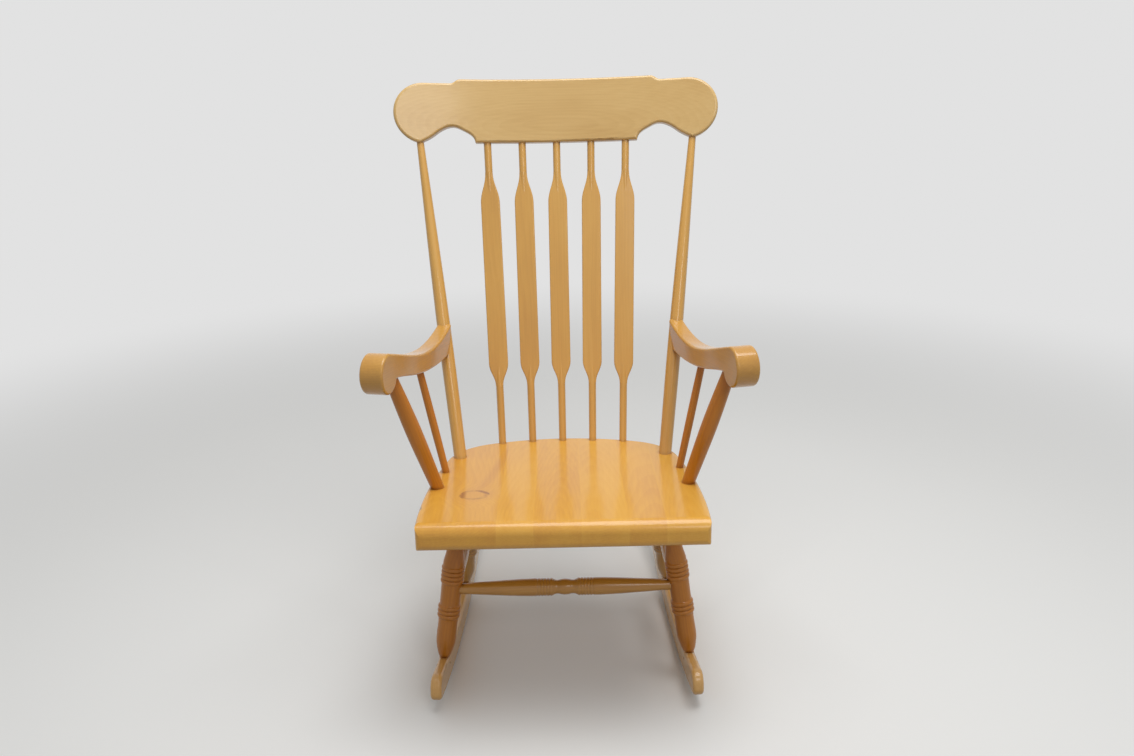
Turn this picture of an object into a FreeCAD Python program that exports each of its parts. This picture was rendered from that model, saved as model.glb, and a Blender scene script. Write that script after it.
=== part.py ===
import FreeCAD, Part
import math
import os

# Boston rocking chair: a plank seat on four turned legs and two curved rockers, with an
# arrow-spindle back, a shaped crest rail and scrolled arms. Every piece is its own solid.
# Millimetres. The chair faces -Y, +X is to the right of someone who looks at its front, +Z is up.
# While it is built, y is counted from the front edge of the seat and z from the floor.
# At the end all pieces move together, so that the origin is the bottom centre of the whole chair.

V = FreeCAD.Vector
UP = V(0, 0, 1)

# Seat
seat_width = 502.0
seat_depth = 446.0
seat_thickness = 47.0
seat_front_height = 418.5
seat_tilt = 4.45
seat_side_radius = 1300.0
seat_widest_at = 95.0
seat_rear_radius = 440.0
seat_rear_corner_radius = 120.0
seat_front_corner_radius = 9.0
seat_roll_top_radius = 20.0
seat_roll_bottom_radius = 13.0
seat_edge_radius = 5.0
seat_glue_lines = (-112.0, -50.0, 32.0, 110.0, 174.0)

# Rockers
rocker_radius = 1050.0
rocker_contact_y = 298.4
rocker_height = 46.0
rocker_width = 21.0
rocker_front_reach = 257.0
rocker_rear_reach = 458.0
rocker_gauge_at_front_foot = 475.0
rocker_toe_in = 2.8
rocker_nose_radius = 24.0
rocker_chin_radius = 14.0
rocker_edge_radius = 6.5

# Legs: top places under the seat and foot places on the rockers
front_leg_top_x = 195.5
front_leg_top_y = 195.0
front_foot_y = 147.0
rear_leg_top_x = 188.0
rear_leg_top_y = 363.0
rear_foot_y = 425.0
leg_top_radius = 14.5
leg_body_radius = 20.1
leg_waist_radius = 19.2
leg_bulb_radius = 19.0
leg_foot_radius = 9.3
leg_seat_tenon_radius = 11.0
leg_seat_tenon_length = 26.0
leg_foot_tenon_radius = 6.5
leg_foot_tenon_length = 30.0
leg_upper_rings_above_foot = 152.5
leg_upper_ring_count = 4
leg_lower_rings_above_foot = 82.5
leg_lower_ring_count = 3
leg_ring_pitch = 8.6
leg_ring_height = 2.0
leg_step_length = 1.2
leg_step_height = 0.6
# Length above the foot, and share of the rise from the foot's radius to the bulb's
leg_ankle_curve = ((6.0, 0.33), (16.0, 0.62), (28.0, 0.90), (45.0, 1.0))
# Length above the upper rings, and share of the rise from the top's radius to the body's
leg_shoulder_curve = ((8.0, 0.97), (18.0, 0.62), (30.0, 0.28), (50.0, 0.05))

# Stretchers
front_stretcher_z = 192.8
rear_stretcher_z = 196.0
side_stretcher_z = 176.0
front_stretcher_end_radius = 9.4
front_stretcher_swell_radius = 16.6
front_stretcher_swell_from_middle = 56.0
front_stretcher_ring_count = 5
front_stretcher_ring_pitch = 5.7
front_stretcher_ring_height = 0.9
front_stretcher_groove_depth = 0.9
front_stretcher_rings_from_middle = 24.0
front_stretcher_cove_radius = 13.0
front_stretcher_ball_radius = 15.0
front_stretcher_ball_foot_radius = 13.4
front_stretcher_ball_length = 22.0
front_stretcher_step_length = 1.5
# Share of the way from the leg to the swell, and share of the rise to the swell's radius
front_stretcher_vase_curve = ((0.35, 0.36), (0.70, 0.80))
plain_stretcher_end_radius = 8.5
plain_stretcher_swell_radius = 12.5
stretcher_tenon_radius = 6.5
stretcher_tenon_length = 14.0

# Share of a turning's swell that it has halfway to it
swell_fullness = 0.65

# Back posts
post_base_x = 206.8
post_base_y = 339.0
post_top_x = 279.7
post_foot_radius = 12.6
post_swell_radius = 13.9
post_top_radius = 7.4
post_swell_share = 0.32
post_seat_tenon_radius = 10.0
post_seat_tenon_length = 34.0
post_crest_tenon_radius = 6.5
post_crest_tenon_length = 30.0

# Back spindles
spindle_count = 5
spindle_setback = 14.0
spindle_base_arc_radius = 660.0
spindle_base_pitch = 63.3
spindle_top_pitch = 71.8
spindle_radius = 7.8
spindle_foot_radius = 7.6
spindle_tenon_radius = 6.0
spindle_seat_tenon_length = 24.0
spindle_crest_tenon_length = 22.0
spindle_fade_length = 44.0
paddle_width = 40.0
paddle_top_width = 39.5
paddle_thickness = 11.0
paddle_edge_radius = 2.5
paddle_neck_low = 121.0
paddle_full_low = 168.0
paddle_full_below_crest = 124.5
paddle_neck_below_crest = 61.5

# Crest rail
crest_low_z = 981.0
crest_low_y = 615.0
crest_lean = 14.3
crest_bend_radius = 1300.0
crest_thickness = 24.0
crest_half_length = 330.0
crest_height = 128.0
crest_ear_radius = 60.5
crest_ear_low = -1.5
crest_step_from_middle = 206.0
crest_step_length = 22.0
crest_notch_from_middle = 214.0
crest_notch_height = 32.5
crest_notch_flank = 24.0
crest_notch_flank_share = 0.74
crest_corner_from_middle = 167.5
crest_ear_corner_from_middle = 279.0
crest_edge_radius = 5.0
crest_post_above_ear_low = 1.5

# Arms: the profile is measured along the arm from its scroll, and up from the floor
arm_scroll_inside_x = 284.7
arm_scroll_y = 100.0
arm_rear_inside_x = 222.3
arm_rear_y = 423.0
arm_scroll_width = 40.0
arm_rear_width = 28.0
arm_scroll_radius = 35.0
arm_scroll_centre_z = 653.0
arm_top_slope = 18.0
arm_dip_at = 228.0
arm_dip_z = 628.5
arm_rear_top_z = 648.0
arm_rear_bottom_z = 588.0
arm_lip_z = 634.0
arm_lip_length = 6.0
arm_middle_at = 126.0
arm_middle_bottom_z = 608.5
arm_edge_radius = 4.0
arm_end_before_post_axis = 8.0
arm_overrun = 20.0

# Arm posts and arm spindles
arm_post_base_x = 231.3
arm_post_base_y = 176.0
arm_post_top_at = 47.0
arm_post_top_below_lip = 4.0
arm_post_foot_radius = 11.8
arm_post_swell_radius = 14.4
arm_post_top_radius = 11.4
arm_post_swell_share = 0.55
arm_post_tenon_radius = 9.0
arm_post_seat_tenon_length = 24.0
arm_post_arm_tenon_length = 22.0
arm_spindle_base_x = 225.4
arm_spindle_base_y = 255.0
arm_spindle_top_at = 183.0
arm_spindle_top_below_middle = 11.0
arm_spindle_end_radius = 6.8
arm_spindle_swell_radius = 7.5
arm_spindle_tenon_radius = 5.5
arm_spindle_tenon_length = 20.0

# Fasteners
crest_pin_radius = 1.1
crest_pin_length = 19.0
crest_pin_height = 17.0
crest_pin_recess = 1.0
arm_screw_z = 615.0
arm_screw_radius = 2.25
arm_screw_head_radius = 4.2
arm_screw_length = 50.0
arm_plug_radius = 4.8
arm_plug_length = 6.0
arm_plug_recess = 0.5
rocker_peg_radius = 2.5
rocker_peg_length = 19.0
rocker_peg_drop = 15.0
rocker_peg_recess = 0.6

# Clearances
glue_gap = 0.08
socket_end_gap = 0.8
cope_reach = 9.0
far = 2000.0


def seat_top(x, y):
    """Point of the seat's top plane above the given place."""
    return V(x, y, seat_front_height - y * math.tan(math.radians(seat_tilt)))


def seat_bottom(x, y):
    """Point of the seat's underside below the given place."""
    drop = seat_thickness / math.cos(math.radians(seat_tilt))
    return seat_top(x, y) - V(0, 0, drop)


def rocker_x(y):
    """Distance of a rocker's middle plane from the chair's middle plane."""
    toe = math.tan(math.radians(rocker_toe_in))
    return rocker_gauge_at_front_foot / 2 - toe * (y - front_foot_y)


def rocker_top_z(y):
    """Height of a rocker's top edge above the floor."""
    run = (y - rocker_contact_y) / math.cos(math.radians(rocker_toe_in))
    inner = rocker_radius - rocker_height
    return rocker_radius - math.sqrt(inner ** 2 - run ** 2)


def on_line(start, end, share):
    """Point between two points, at a share of the way."""
    return start + (end - start) * share


def at_height(start, end, z):
    """Point of the line through two points at a height."""
    return on_line(start, end, (z - start.z) / (end.z - start.z))


def mirrored(shape):
    """The same piece on the other side of the chair."""
    return shape.mirror(V(0, 0, 0), V(1, 0, 0))


def aimed(shape, start, end):
    """A piece made along +Z, put with its start at one point and aimed at another."""
    placed = shape.copy()
    placed.Placement = FreeCAD.Placement(start, FreeCAD.Rotation(UP, end - start))
    return placed


def rod(start, end, radius, before, length):
    """Cylinder on the line from start to end, from before the start on, of a given length."""
    return aimed(Part.makeCylinder(radius, length, V(0, 0, -before)), start, end)


def smooth(points, first=None, last=None):
    """Smooth curve through points, with end directions where they are given."""
    curve = Part.BSplineCurve()
    if first is not None and last is not None:
        curve.interpolate(Points=points, InitialTangent=first, FinalTangent=last)
    else:
        curve.interpolate(points)
    return curve.toShape()


def lathe(start_radius, steps):
    """Turned piece along +Z from z = 0. Each step goes on from the last point of the outline:
    ("line", length, radius), ("curve", [(length, radius), ...]) and ("bead", length, height)."""
    z = 0.0
    radius = start_radius
    edges = [Part.makeLine(V(0, 0, 0), V(radius, 0, 0))]
    for step in steps:
        here = V(radius, 0, z)
        if step[0] == "line":
            z += step[1]
            radius = step[2]
            edges.append(Part.makeLine(here, V(radius, 0, z)))
        elif step[0] == "curve":
            points = [here] + [V(r, 0, z + length) for length, r in step[1]]
            edges.append(smooth(points))
            z += step[1][-1][0]
            radius = step[1][-1][1]
        else:
            crown = V(radius + step[2], 0, z + step[1] / 2)
            z += step[1]
            edges.append(Part.Arc(here, crown, V(radius, 0, z)).toShape())
    edges.append(Part.makeLine(V(radius, 0, z), V(0, 0, z)))
    edges.append(Part.makeLine(V(0, 0, z), V(0, 0, 0)))
    return Part.Face(Part.Wire(edges)).revolve(V(0, 0, 0), UP, 360)


def turned_back(start_radius, steps):
    """The same outline steps from their far end back to their start."""
    back = []
    radius = start_radius
    for step in steps:
        if step[0] == "line":
            back.insert(0, ("line", step[1], radius))
            radius = step[2]
        elif step[0] == "curve":
            length, end_radius = step[1][-1]
            points = [(length - before, r) for before, r in reversed(step[1][:-1])]
            back.insert(0, ("curve", points + [(length, radius)]))
            radius = end_radius
        else:
            back.insert(0, step)
    return back


def risen(low, high, share):
    """Radius at a share of the rise from a low one to a high one."""
    return low + (high - low) * share


def stick_body(base, top, start, swell, end, swell_share):
    """Turned stick with one swell, made a little longer at both ends to be coped there."""
    length = (top - base).Length
    high = length * swell_share
    steps = [("line", cope_reach, start),
             ("curve", [(high / 2, risen(start, swell, swell_fullness)), (high, swell),
                        ((length + high) / 2, risen(end, swell, swell_fullness)), (length, end)]),
             ("line", cope_reach, end)]
    return aimed(lathe(start, steps), base - (top - base).normalize() * cope_reach, top)


def tenoned(body, receivers, tenons):
    """Piece whose body is coped to the pieces that take it, with its tenons added."""
    return body.cut(receivers).fuse(tenons).removeSplitter()


def socket(start, end, radius, length):
    """Blind hole for a tenon that starts at one point and points away from the other."""
    depth = length + socket_end_gap
    return rod(start, start + (start - end), radius + glue_gap, cope_reach, cope_reach + depth)


def tenon(start, end, radius, length):
    """Tenon that reaches back into its piece and a given length past the piece's end point."""
    return rod(start, start + (start - end), radius, cope_reach * 1.5, cope_reach * 1.5 + length)


def seat_outline():
    """Seat plank with square edges: a straight front, two long side arcs and a rear arc."""
    half = seat_width / 2
    side_centre = V(half - seat_side_radius, seat_widest_at, 0)
    rear_centre = V(0, seat_depth - seat_rear_radius, 0)
    side = Part.makeCylinder(seat_side_radius, seat_thickness, side_centre)
    other_side = Part.makeCylinder(seat_side_radius, seat_thickness, V(-side_centre.x, side_centre.y, 0))
    rear = Part.makeCylinder(seat_rear_radius, seat_thickness, rear_centre)
    front = Part.makeBox(seat_width, seat_depth, seat_thickness, V(-half, 0, 0))
    plank = front.common(side).common(other_side).common(rear)
    upright = [e for e in plank.Edges if abs(e.tangentAt(e.FirstParameter).z) > 0.99]
    at_front = [e for e in upright if e.CenterOfMass.y < seat_depth / 4]
    at_rear = [e for e in upright if e.CenterOfMass.y > seat_depth / 2]
    plank = plank.makeFillet(seat_front_corner_radius, at_front)
    return plank.makeFillet(seat_rear_corner_radius, at_rear)


def front_edge(bar, z):
    """The long edge along the front of a bar, at a height."""
    return next(e for e in bar.Edges if e.BoundBox.XLength > seat_width
                and abs(e.CenterOfMass.z - z) < 0.01 and abs(e.CenterOfMass.y) < 0.01)


def make_seat_blank():
    """The glued-up seat plank in one piece, with its rolled front edge, before any hole."""
    plank = seat_outline()
    rims = [e for e in plank.Edges if e.BoundBox.ZLength < 0.01]
    soft = plank.makeFillet(seat_edge_radius, rims)
    rolled = Part.makeBox(seat_width * 2, far, seat_thickness, V(-seat_width, 0, 0))
    rolled = rolled.makeFillet(seat_roll_top_radius, [front_edge(rolled, seat_thickness)])
    rolled = rolled.makeFillet(seat_roll_bottom_radius, [front_edge(rolled, 0)])
    blank = soft.common(rolled)
    blank.translate(V(0, 0, -seat_thickness))
    blank.rotate(V(0, 0, 0), V(1, 0, 0), -seat_tilt)
    blank.translate(V(0, 0, seat_front_height))
    return blank


def make_rocker_blank():
    """Right rocker before its leg sockets: a bar sawn to two arcs, with rounded ends."""
    centre = V(0, 0, rocker_radius)

    def arc_point(radius, run):
        return V(0, run, centre.z - math.sqrt(radius ** 2 - run ** 2))

    inner = rocker_radius - rocker_height
    angle_front = math.asin(rocker_front_reach / rocker_radius)
    angle_rear = math.asin(rocker_rear_reach / rocker_radius)
    low = [arc_point(rocker_radius, -rocker_front_reach), arc_point(rocker_radius, 0),
           arc_point(rocker_radius, rocker_rear_reach)]
    high = [arc_point(inner, -inner * math.sin(angle_front)), arc_point(inner, 0),
            arc_point(inner, inner * math.sin(angle_rear))]
    edges = [Part.Arc(*low).toShape(), Part.makeLine(low[2], high[2]),
             Part.Arc(*reversed(high)).toShape(), Part.makeLine(high[0], low[0])]
    bar = Part.Face(Part.Wire(edges)).extrude(V(rocker_width, 0, 0))
    for radius, pick in ((rocker_chin_radius, min), (rocker_nose_radius, max)):
        across = [e for e in bar.Edges if e.BoundBox.XLength > rocker_width / 2]
        front = [e for e in across if e.CenterOfMass.y < 0]
        rear = [e for e in across if e.CenterOfMass.y > 0]
        bar = bar.makeFillet(radius, [pick(end, key=lambda e: e.CenterOfMass.z) for end in (front, rear)])
    rims = [e for e in bar.Edges if e.BoundBox.XLength < 0.01]
    bar = bar.makeFillet(rocker_edge_radius, rims)
    bar.translate(V(-rocker_width / 2, 0, 0))
    bar.rotate(V(0, 0, 0), UP, rocker_toe_in)
    bar.translate(V(rocker_x(rocker_contact_y), rocker_contact_y, 0))
    return bar


def make_crest_blank():
    """Crest rail before its sockets: a bent slab, sawn to its outline, with softened edges."""
    half_step = crest_step_length / 2
    ear_x = crest_half_length - crest_ear_radius
    ear_z = crest_ear_low + crest_ear_radius
    ear_top = V(ear_x, 0, ear_z + crest_ear_radius)
    ear_end = V(crest_half_length, 0, ear_z)
    corner_run = crest_ear_corner_from_middle - ear_x
    corner_drop = math.sqrt(crest_ear_radius ** 2 - corner_run ** 2)
    ear_corner = V(crest_ear_corner_from_middle, 0, ear_z - corner_drop)
    corner = V(crest_corner_from_middle, 0, 0)
    leaves_corner = V(0.15, 0, 1)
    meets_ear = V(1, 0, -0.45)
    flank_z = crest_notch_height * crest_notch_flank_share
    notch = [V(crest_notch_from_middle - crest_notch_flank, 0, flank_z),
             V(crest_notch_from_middle, 0, crest_notch_height),
             V(crest_notch_from_middle + crest_notch_flank, 0, flank_z)]
    step_low = V(crest_step_from_middle + half_step, 0, ear_top.z)
    step_middle = V(crest_step_from_middle, 0, (crest_height + ear_top.z) / 2)
    step_high = V(crest_step_from_middle - half_step, 0, crest_height)
    right = [
        Part.makeLine(V(0, 0, 0), corner),
        smooth([corner] + notch + [ear_corner], leaves_corner, meets_ear),
        Part.Arc(ear_corner, ear_end, ear_top).toShape(),
        Part.makeLine(ear_top, step_low),
        smooth([step_low, step_middle, step_high], V(-1, 0, 0), V(-1, 0, 0)),
        Part.makeLine(step_high, V(0, 0, crest_height)),
    ]
    left = [e.mirror(V(0, 0, 0), V(1, 0, 0)) for e in right]
    outline = Part.Wire(Part.__sortEdges__(right + left))
    sawn = Part.Face(outline).extrude(V(0, far, 0))
    sawn.translate(V(0, -far / 2, 0))
    middle = V(0, -crest_bend_radius, -far / 2)
    outside = Part.makeCylinder(crest_bend_radius + crest_thickness / 2, far, middle)
    inside = Part.makeCylinder(crest_bend_radius - crest_thickness / 2, far, middle)
    rail = sawn.common(outside.cut(inside)).Solids[0]
    around = [e for e in rail.Edges
              if abs(e.tangentAt((e.FirstParameter + e.LastParameter) / 2).y) < 0.9 and e.Length > 0.5]
    rail = rail.makeFillet(crest_edge_radius, around)
    rail.rotate(V(0, 0, 0), V(1, 0, 0), -crest_lean)
    rail.translate(V(0, crest_low_y, crest_low_z))
    return rail


def crest_point(x, height):
    """Point of the crest rail's middle surface at a distance across and a height up the rail."""
    lean = math.radians(crest_lean)
    forward = crest_bend_radius - math.sqrt(crest_bend_radius ** 2 - x ** 2)
    y = crest_low_y + height * math.sin(lean) - forward * math.cos(lean)
    return V(x, y, crest_low_z + height * math.cos(lean) + forward * math.sin(lean))


def arm_point(along, z, across=0.5):
    """Point of the right arm, along it from the scroll, with across from 0 inside to 1 outside."""
    inside = V(arm_scroll_inside_x, arm_scroll_y, z)
    rear = V(arm_rear_inside_x, arm_rear_y, z)
    forward = rear - inside
    length = forward.Length
    forward.normalize()
    side = V(forward.y, -forward.x, 0)
    width = arm_scroll_width + (arm_rear_width - arm_scroll_width) * along / length
    return inside + forward * along + side * (width * across)


def make_arm_blank():
    """Right arm before it is fitted: a sawn S-shaped side outline, tapered in width to the rear."""
    slope = math.radians(arm_top_slope)
    length = (arm_point(0, 0, 0) - V(arm_rear_inside_x, arm_rear_y, 0)).Length + arm_overrun
    centre = V(0, 0, arm_scroll_centre_z)
    radius = arm_scroll_radius
    lip_drop = arm_scroll_centre_z - arm_lip_z
    lip_angle = -math.asin(lip_drop / radius)

    def on_scroll(angle):
        return centre + V(math.cos(angle), 0, math.sin(angle)) * radius

    top = on_scroll(math.pi / 2 - slope)
    lip = on_scroll(lip_angle)
    lip_end = lip + V(arm_lip_length, 0, 0)
    under = on_scroll(-math.pi / 2)
    leaves_lip = V(1, 0, -0.22)
    rear_bottom_slope = V(1, 0, 0.06)
    rear_top_slope = V(1, 0, 0.34)
    rear_top = V(length, 0, arm_rear_top_z)
    rear_bottom = V(length, 0, arm_rear_bottom_z)
    top_line = smooth([top, V(arm_dip_at, 0, arm_dip_z), rear_top],
                      V(math.cos(slope), 0, -math.sin(slope)), rear_top_slope)
    bottom_line = smooth([lip_end, V(arm_middle_at, 0, arm_middle_bottom_z), rear_bottom],
                         leaves_lip, rear_bottom_slope)
    edges = [Part.Arc(top, on_scroll(math.pi), under).toShape(),
             Part.Arc(under, on_scroll((lip_angle - math.pi / 2) / 2), lip).toShape(),
             Part.makeLine(lip, lip_end), bottom_line,
             Part.makeLine(rear_bottom, rear_top), top_line]
    side = Part.Face(Part.Wire(Part.__sortEdges__(edges)))
    board = side.extrude(V(0, -arm_scroll_width * 2, 0))
    taper = (arm_rear_width - arm_scroll_width) / length
    reach = arm_scroll_radius * 1.2
    plan = Part.makePolygon([V(-reach, 0, 0), V(length, 0, 0), V(length, -arm_rear_width, 0),
                             V(-reach, -arm_scroll_width + taper * reach, 0), V(-reach, 0, 0)])
    board = board.common(Part.Face(plan).extrude(V(0, 0, far)))
    rims = [e for e in board.Edges if e.BoundBox.XLength > arm_lip_length / 2]
    board = board.makeFillet(arm_edge_radius, rims)
    forward = arm_point(1, 0, 0) - arm_point(0, 0, 0)
    board.Placement = FreeCAD.Placement(arm_point(0, 0, 0), FreeCAD.Rotation(V(1, 0, 0), forward))
    return board


def rings(count, pitch, height):
    """Outline steps for a group of turned rings with fine grooves between them."""
    return [("bead", pitch, height) for _ in range(count)]


def leg_body(top, foot):
    """Turned leg between the seat and the rocker: neck, ringed body, ringed waist and bulb."""
    length = (top - foot).Length
    upper = leg_upper_rings_above_foot
    lower = leg_lower_rings_above_foot
    upper_top = upper + leg_upper_ring_count * leg_ring_pitch
    lower_top = lower + leg_lower_ring_count * leg_ring_pitch
    waist = upper - lower_top - 2 * leg_step_length
    ankle = [(above, risen(leg_foot_radius, leg_bulb_radius, share)) for above, share in leg_ankle_curve]
    shoulder = [(above, risen(leg_top_radius, leg_body_radius, share))
                for above, share in leg_shoulder_curve]
    steps = [("line", cope_reach, leg_foot_radius),
             ("curve", ankle + [(lower - leg_step_length, leg_waist_radius)]),
             ("line", leg_step_length, leg_waist_radius + leg_step_height)]
    steps += rings(leg_lower_ring_count, leg_ring_pitch, leg_ring_height)
    steps += [("line", leg_step_length, leg_waist_radius),
              ("curve", [(waist / 2, leg_waist_radius), (waist, leg_waist_radius + leg_step_height)]),
              ("line", leg_step_length, leg_body_radius)]
    steps += rings(leg_upper_ring_count, leg_ring_pitch, leg_ring_height)
    steps.append(("curve", shoulder + [(length - upper_top + cope_reach, leg_top_radius)]))
    return aimed(lathe(leg_foot_radius, steps), foot - (top - foot).normalize() * cope_reach, top)


def make_leg(top, foot, seat, rocker):
    """One leg, coped to the seat and to its rocker, with a round tenon at each end."""
    tenons = [tenon(top, foot, leg_seat_tenon_radius, leg_seat_tenon_length),
              tenon(foot, top, leg_foot_tenon_radius, leg_foot_tenon_length)]
    return tenoned(leg_body(top, foot), [seat, rocker], tenons)


def plain_stretcher_body(start, end):
    """Turned stretcher that swells gently to its middle."""
    return stick_body(start, end, plain_stretcher_end_radius, plain_stretcher_swell_radius,
                      plain_stretcher_end_radius, 0.5)


def front_stretcher_body(start, end):
    """Turned front stretcher: two long vases with ring groups, and a ball between two coves."""
    ring_base = front_stretcher_swell_radius - front_stretcher_groove_depth
    rings_length = front_stretcher_ring_count * front_stretcher_ring_pitch
    rings_start = front_stretcher_rings_from_middle + rings_length
    vase = (end - start).Length / 2 - front_stretcher_swell_from_middle
    cove = front_stretcher_rings_from_middle - front_stretcher_step_length - front_stretcher_ball_length / 2
    rise = [(vase * along, risen(front_stretcher_end_radius, front_stretcher_swell_radius, share))
            for along, share in front_stretcher_vase_curve]
    half = [("curve", rise + [(vase, front_stretcher_swell_radius)]),
            ("line", front_stretcher_swell_from_middle - rings_start, ring_base)]
    half += rings(front_stretcher_ring_count, front_stretcher_ring_pitch, front_stretcher_ring_height)
    half += [("line", front_stretcher_step_length, front_stretcher_ball_radius),
             ("curve", [(cove / 2, front_stretcher_cove_radius), (cove, front_stretcher_ball_foot_radius)])]
    ball_rise = front_stretcher_ball_radius - front_stretcher_ball_foot_radius
    ball = ("bead", front_stretcher_ball_length, ball_rise)
    steps = half + [ball] + turned_back(front_stretcher_end_radius, half)
    return aimed(lathe(front_stretcher_end_radius, steps), start, end)


def make_stretcher(body, start, end, receivers):
    """Stretcher between two leg axes, coped to both legs, with a tenon inside each."""
    reach = leg_body_radius - stretcher_tenon_length
    along = (end - start).normalize()
    length = (end - start).Length - 2 * reach
    bar = rod(start + along * reach, end, stretcher_tenon_radius, 0, length)
    return tenoned(body(start, end), receivers, [bar])


def stretcher_socket(start, end):
    """Blind hole in a leg for the stretcher tenon that starts near this leg's axis."""
    reach = leg_body_radius - stretcher_tenon_length - socket_end_gap
    along = (end - start).normalize()
    return rod(start + along * reach, end, stretcher_tenon_radius + glue_gap, 0, leg_body_radius)


def post_body(base, top):
    """Back post: a straight round post that swells at arm height and tapers to the crest rail."""
    return stick_body(base, top, post_foot_radius, post_swell_radius, post_top_radius, post_swell_share)


def arm_post_body(base, top):
    """Stout turned post under the front of an arm, fullest a little above its middle."""
    return stick_body(base, top, arm_post_foot_radius, arm_post_swell_radius, arm_post_top_radius,
                      arm_post_swell_share)


def arm_spindle_body(base, top):
    """Slim round spindle between the seat and an arm."""
    return stick_body(base, top, arm_spindle_end_radius, arm_spindle_swell_radius,
                      arm_spindle_end_radius, 0.5)


def spindle_body(base, top):
    """Arrow spindle: a round stick with a long flat paddle, its face turned to the sitter."""
    length = (top - base).Length
    neck_high = length - paddle_neck_below_crest
    full_high = length - paddle_full_below_crest
    low = paddle_width / 2
    high = paddle_top_width / 2
    half = paddle_thickness / 2
    middle_low = (paddle_neck_low + paddle_full_low) / 2
    middle_high = (neck_high + full_high) / 2
    right = [
        Part.makeLine(V(0, 0, paddle_neck_low), V(spindle_radius, 0, paddle_neck_low)),
        smooth([V(spindle_radius, 0, paddle_neck_low), V((spindle_radius + low) / 2, 0, middle_low),
                V(low, 0, paddle_full_low)], UP, UP),
        Part.makeLine(V(low, 0, paddle_full_low), V(high, 0, full_high)),
        smooth([V(high, 0, full_high), V((spindle_radius + high) / 2, 0, middle_high),
                V(spindle_radius, 0, neck_high)], UP, UP),
        Part.makeLine(V(spindle_radius, 0, neck_high), V(0, 0, neck_high)),
    ]
    left = [e.mirror(V(0, 0, 0), V(1, 0, 0)) for e in right]
    blade = Part.Face(Part.Wire(Part.__sortEdges__(right + left))).extrude(V(0, paddle_thickness, 0))
    blade.translate(V(0, -half, 0))
    sides = [e for e in blade.Edges if e.BoundBox.YLength < 0.01 and e.BoundBox.ZLength > paddle_thickness]
    blade = blade.makeFillet(paddle_edge_radius, sides)
    waning = (spindle_radius + half) / 2
    fade = spindle_fade_length
    low_stick = lathe(spindle_foot_radius, [("line", cope_reach, spindle_foot_radius),
                                            ("line", paddle_neck_low, spindle_radius),
                                            ("curve", [(fade / 2, waning), (fade, half)])])
    low_stick.translate(V(0, 0, -cope_reach))
    high_stick = lathe(half, [("curve", [(fade / 2, waning), (fade, spindle_radius)]),
                              ("line", paddle_neck_below_crest + cope_reach, spindle_radius)])
    high_stick.translate(V(0, 0, neck_high - fade))
    stick = blade.fuse([low_stick, high_stick]).removeSplitter()
    stick.Placement = FreeCAD.Placement(base, FreeCAD.Rotation(UP, top - base))
    return stick


def spindle_ends(number):
    """Base and top points of a back spindle, counted from the left of the chair."""
    place = number - (spindle_count + 1) / 2
    base_x = place * spindle_base_pitch
    sag = spindle_base_arc_radius - math.sqrt(spindle_base_arc_radius ** 2 - base_x ** 2)
    base = seat_top(base_x, seat_depth - spindle_setback - sag)
    return base, crest_point(place * spindle_top_pitch, 0)


def solids_of(shape):
    """The shape as one plain solid, or a group where it holds more than one."""
    return shape.Solids[0] if len(shape.Solids) == 1 else Part.makeCompound(shape.Solids)


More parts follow.
